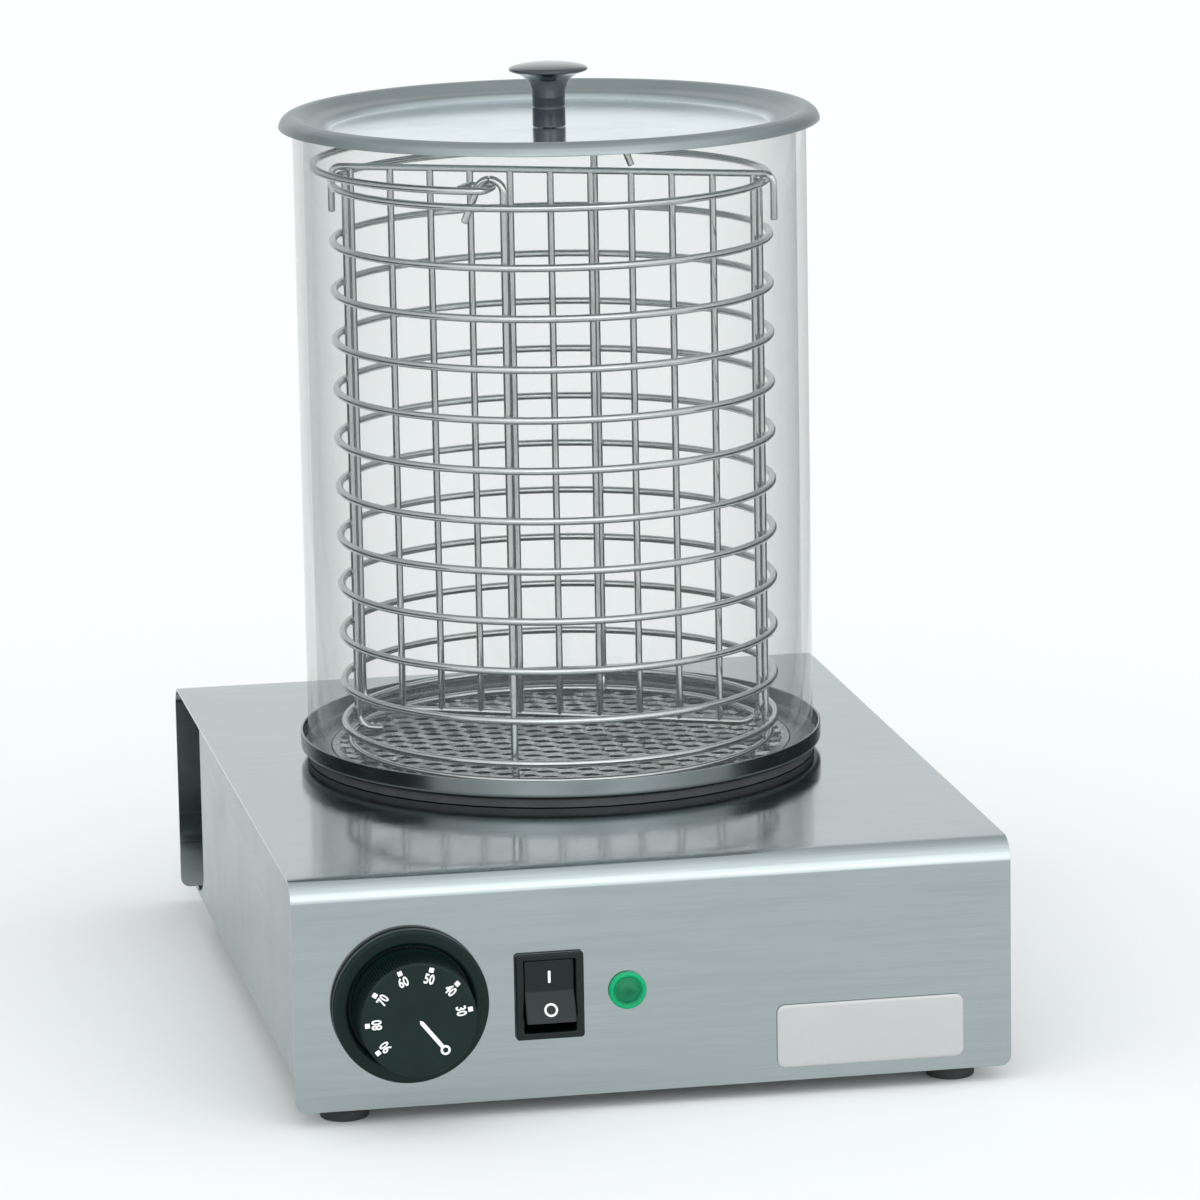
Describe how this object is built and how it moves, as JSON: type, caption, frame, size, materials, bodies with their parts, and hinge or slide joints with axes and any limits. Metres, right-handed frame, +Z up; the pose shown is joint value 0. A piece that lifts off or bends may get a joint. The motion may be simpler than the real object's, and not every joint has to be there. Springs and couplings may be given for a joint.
{
  "type": "hot dog steamer",
  "caption": "Hot dog steamer: steel box base with water pan, glass cylinder, divided wire basket with a bail handle, and a loose lid with a knob.",
  "frame": {"origin": "on the table, under the middle of the outline of housing and dial", "axes": "+X to the right of a person facing the controls, +Y to the back, +Z up along the axis of the glass cylinder"},
  "size_m": [0.27, 0.373, 0.3665],
  "materials": {
    "housing_steel": "brushed stainless sheet, grain along the width",
    "galvanised_steel": "dull zinc-coated sheet",
    "bright_steel": "drawn stainless, satin to polished",
    "plate_aluminium": "satin",
    "brass": "plain",
    "matt_black_plastic": "fine grain",
    "gloss_black_plastic": "polished",
    "pale_insulator": "unglazed",
    "green_lens": "clear tinted",
    "clear_glass": "clear borosilicate",
    "silicone": "matt",
    "foot_rubber": "matt"
  },
  "bodies": {
    "housing": {"top_cover": "housing_steel", "chassis_tray": "housing_steel", "rear_bulkhead": "galvanised_steel", "foot_front_left": "foot_rubber", "foot_front_right": "foot_rubber", "foot_rear_left": "foot_rubber", "foot_rear_right": "foot_rubber", "foot_screw_front_left": "bright_steel", "foot_screw_front_right": "bright_steel", "foot_screw_rear_left": "bright_steel", "foot_screw_rear_right": "bright_steel", "foot_nut_front_left": "bright_steel", "foot_nut_front_right": "bright_steel", "foot_nut_rear_left": "bright_steel", "foot_nut_rear_right": "bright_steel", "blank_name_plate": "plate_aluminium", "dial_bezel": "matt_black_plastic", "thermostat_body": "galvanised_steel", "thermostat_bulb": "brass", "switch_housing": "matt_black_plastic", "pilot_lamp_lens": "green_lens", "pilot_lamp_body": "pale_insulator", "pilot_lamp_nut": "bright_steel", "heater_plate": "plate_aluminium", "heating_element": "galvanised_steel", "heater_strap": "galvanised_steel", "overheat_cutout": "pale_insulator", "terminal_block": "pale_insulator", "cable_gland": "matt_black_plastic", "cable_gland_nut": "matt_black_plastic", "pan_seat_ring": "silicone"},
    "thermostat_knob": {"thermostat_dial": "matt_black_plastic", "thermostat_shaft": "brass"},
    "rocker": {"switch_rocker": "gloss_black_plastic"},
    "pan": {"water_pan": "bright_steel"},
    "glass": {"glass_cylinder": "clear_glass"},
    "plate": {"drip_plate": "bright_steel"},
    "basket": {"basket": "bright_steel"},
    "handle": {"basket_handle": "bright_steel"},
    "divider": {"basket_divider": "bright_steel"},
    "lid": {"lid": "housing_steel", "lid_knob": "gloss_black_plastic", "lid_knob_washer": "bright_steel", "lid_knob_screw": "bright_steel"}
  },
  "joints": [
    {"name": "dial_turn", "type": "hinge", "parent": "housing", "child": "thermostat_knob", "pos_m": [-0.092, -0.1685, 0.045], "axis": [0, -1, 0], "range_deg": [-126, 141]},
    {"name": "rocker_tilt", "type": "hinge", "parent": "housing", "child": "rocker", "pos_m": [-0.04, -0.1575, 0.045], "axis": [1, 0, 0], "range_deg": [0, 24]},
    {"name": "pan_lift", "type": "slide", "parent": "housing", "child": "pan", "axis": [0, 0, 1], "range_m": [0, 0.1]},
    {"name": "glass_lift", "type": "slide", "parent": "pan", "child": "glass", "axis": [0, 0, 1], "range_m": [0, 0.26]},
    {"name": "plate_lift", "type": "slide", "parent": "glass", "child": "plate", "axis": [0, 0, 1], "range_m": [0, 0.26]},
    {"name": "basket_lift", "type": "slide", "parent": "plate", "child": "basket", "axis": [0, 0, 1], "range_m": [0, 0.26]},
    {"name": "handle_swing", "type": "hinge", "parent": "basket", "child": "handle", "pos_m": [0, 0.0265, 0.3285], "axis": [0.44, 0.898, 0], "range_deg": [0, 90]},
    {"name": "divider_lift", "type": "slide", "parent": "basket", "child": "divider", "axis": [0, 0, 1], "range_m": [0, 0.08]},
    {"name": "lid_lift", "type": "slide", "parent": "divider", "child": "lid", "axis": [0, 0, 1], "range_m": [0, 0.3]}
  ],
  "couplings": [
    {"joint": "handle_swing", "follows": "lid_lift", "rad_per_m": 5.2359}
  ]
}
